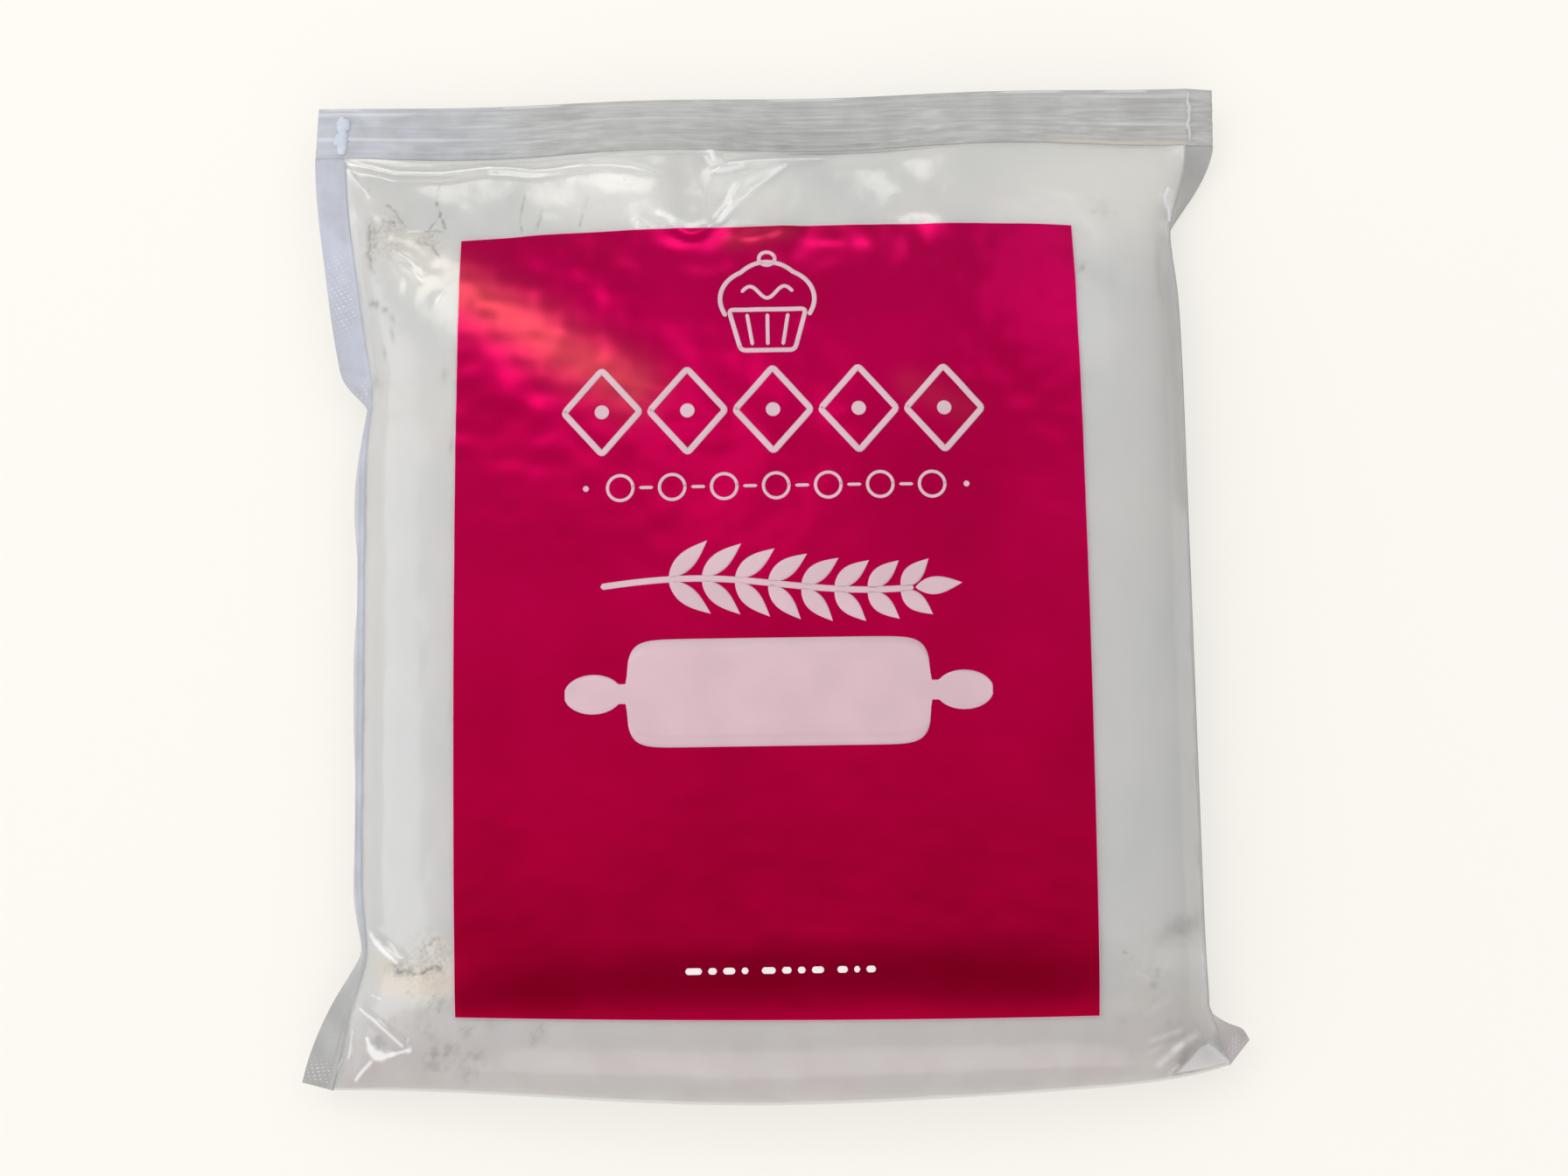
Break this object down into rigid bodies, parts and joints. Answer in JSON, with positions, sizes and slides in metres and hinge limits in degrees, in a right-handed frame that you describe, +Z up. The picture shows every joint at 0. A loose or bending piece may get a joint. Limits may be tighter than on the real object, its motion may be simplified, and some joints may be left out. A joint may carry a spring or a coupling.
{
  "type": "bag of baking powder",
  "caption": "Clear heat-sealed pouch filled with white baking powder, lying on its back, with a rectangular magenta-red sticker on its front.",
  "frame": {"origin": "middle of the pouch's outline, on the surface it lies on", "axes": "+X across the pouch, +Y from the bottom fold to the top seal, +Z up out of the sticker"},
  "size_m": [0.2239, 0.247, 0.0333],
  "materials": {
    "clear_film": "clear glossy film over white powder",
    "powder": "fine compact white powder",
    "label": "glossy printed sticker"
  },
  "bodies": {
    "root": {"bag": "clear_film", "label": "label"}
  },
  "joints": []
}
